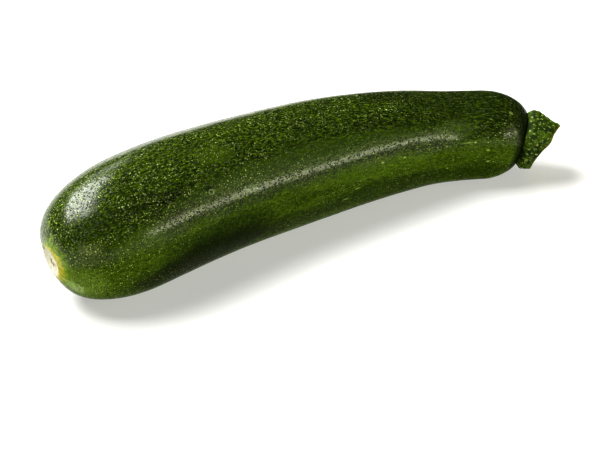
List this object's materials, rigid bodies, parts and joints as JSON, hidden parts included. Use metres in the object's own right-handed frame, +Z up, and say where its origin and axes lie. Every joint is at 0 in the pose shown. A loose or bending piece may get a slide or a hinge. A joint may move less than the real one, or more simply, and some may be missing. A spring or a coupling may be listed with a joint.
{
  "type": "courgette",
  "caption": "Whole courgette lying on its side, a long soft-ribbed dark green fruit, fuller at the blossom end, with a cut stub of stalk.",
  "frame": {"origin": "middle of the courgette's box, on the surface it rests on", "axes": "+X runs along the fruit from its blossom end to its stalk, +Z is up as it lies, and +Y is the side its middle bends towards"},
  "size_m": [0.2228, 0.0644, 0.05],
  "materials": {
    "fruit_skin": "waxy dark green courgette skin with fine pale yellow-green specks and a pale corky blossom scar",
    "stalk_skin": "dull yellow-green ridged stalk with pale warts, and a dried brownish cut face"
  },
  "bodies": {
    "root": {"fruit": "fruit_skin", "stem": "stalk_skin"}
  },
  "joints": []
}
